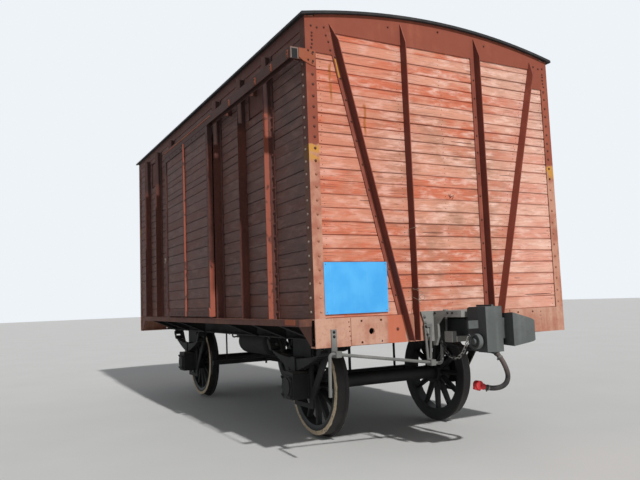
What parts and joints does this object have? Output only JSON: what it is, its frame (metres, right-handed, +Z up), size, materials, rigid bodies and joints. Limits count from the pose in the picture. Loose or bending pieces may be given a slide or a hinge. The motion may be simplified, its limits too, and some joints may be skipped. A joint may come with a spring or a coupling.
{
  "type": "two-axle covered goods wagon",
  "caption": "Two-axle covered goods wagon (railroad boxcar) with planked body, steel posts, sliding side doors, hatches, spoked wheelsets and automatic couplers.",
  "frame": {"origin": "on the floor plane under the wheel flanges, midway between the ends and between the sides", "axes": "+Z up, +X along the wagon toward the end with the brake hose, +Y to the side away from the viewer in the picture"},
  "size_m": [8.116, 3.26, 4.0879],
  "materials": {
    "underframe_steel": "weathered dark red-brown paint on rolled sections",
    "running_gear_black": "dull black paint over cast and forged steel",
    "wheel_black": "dull black paint, pale ring on the tyre's edge",
    "coupler_grey": "dark grey paint on a steel casting",
    "fitting_grey": "grey paint on bars and brackets",
    "body_steel": "red-brown paint, rust at the edges",
    "end_boards": "faded red paint on boards, worn pale in places",
    "side_boards": "red-brown paint on boards",
    "floor_boards": "bare worn boards",
    "door_boards": "red-brown paint on boards",
    "door_steel": "red-brown paint on a steel frame",
    "hatch_steel": "red-brown paint on pressed sheet",
    "roof_black": "black roofing paint on sheet",
    "roof_frame": "red-brown paint on arched ribs",
    "hose_rubber": "black rubber brake hose",
    "hose_head_red": "red paint on a cast coupling head"
  },
  "bodies": {
    "wagon": {"air_reservoir": "running_gear_black", "axle_boxes": "running_gear_black", "axle_guards": "running_gear_black", "brake_cylinder": "running_gear_black", "brake_hose": "hose_rubber", "brake_pipe": "running_gear_black", "brake_rigging": "running_gear_black", "brake_shoes": "running_gear_black", "cant_rails": "body_steel", "carlines": "roof_frame", "centre_sills": "underframe_steel", "corner_posts": "body_steel", "coupler_front": "coupler_grey", "coupler_rear": "coupler_grey", "cross_bearers": "underframe_steel", "door_guides": "body_steel", "door_headers": "side_boards", "door_rails": "body_steel", "draft_gears": "underframe_steel", "end_heads": "body_steel", "end_posts": "body_steel", "end_sill_front": "underframe_steel", "end_sill_rear": "underframe_steel", "end_wall_front": "end_boards", "end_wall_rear": "end_boards", "floor": "floor_boards", "hatch_hinges": "body_steel", "hose_coupling": "hose_head_red", "leaf_springs": "running_gear_black", "lever_chains": "fitting_grey", "roof": "roof_black", "side_posts": "body_steel", "side_sills": "underframe_steel", "side_wall_left": "side_boards", "side_wall_right": "side_boards", "solebars": "underframe_steel", "spring_hangers": "running_gear_black", "striker_castings": "underframe_steel", "uncoupling_levers": "fitting_grey"},
    "wheelset_front": {"wheelset_front": "wheel_black"},
    "wheelset_rear": {"wheelset_rear": "wheel_black"},
    "door_left": {"door_left_boards": "door_boards", "door_left_frame": "door_steel"},
    "door_right": {"door_right_boards": "door_boards", "door_right_frame": "door_steel"},
    "hatch_front_left": {"hatch_front_left": "hatch_steel"},
    "hatch_front_right": {"hatch_front_right": "hatch_steel"},
    "hatch_rear_left": {"hatch_rear_left": "hatch_steel"},
    "hatch_rear_right": {"hatch_rear_right": "hatch_steel"}
  },
  "joints": [
    {"name": "wheelset_front_roll", "type": "hinge", "parent": "wagon", "child": "wheelset_front", "pos_m": [1.925, 0, 0.553], "axis": [0, 1, 0], "continuous": true},
    {"name": "wheelset_rear_roll", "type": "hinge", "parent": "wagon", "child": "wheelset_rear", "pos_m": [-1.925, 0, 0.553], "axis": [0, 1, 0], "continuous": true},
    {"name": "door_left_slide", "type": "slide", "parent": "wagon", "child": "door_left", "axis": [1, 0, 0], "range_m": [0, 1.9]},
    {"name": "door_right_slide", "type": "slide", "parent": "wagon", "child": "door_right", "axis": [-1, 0, 0], "range_m": [0, 1.9]},
    {"name": "hatch_front_left_lid", "type": "hinge", "parent": "wagon", "child": "hatch_front_left", "pos_m": [2.11, -1.402, 3.755], "axis": [1, 0, 0], "range_deg": [0, 85]},
    {"name": "hatch_front_right_lid", "type": "hinge", "parent": "wagon", "child": "hatch_front_right", "pos_m": [2.11, 1.402, 3.755], "axis": [-1, 0, 0], "range_deg": [0, 85]},
    {"name": "hatch_rear_left_lid", "type": "hinge", "parent": "wagon", "child": "hatch_rear_left", "pos_m": [-2.11, -1.402, 3.755], "axis": [1, 0, 0], "range_deg": [0, 85]},
    {"name": "hatch_rear_right_lid", "type": "hinge", "parent": "wagon", "child": "hatch_rear_right", "pos_m": [-2.11, 1.402, 3.755], "axis": [-1, 0, 0], "range_deg": [0, 85]}
  ]
}
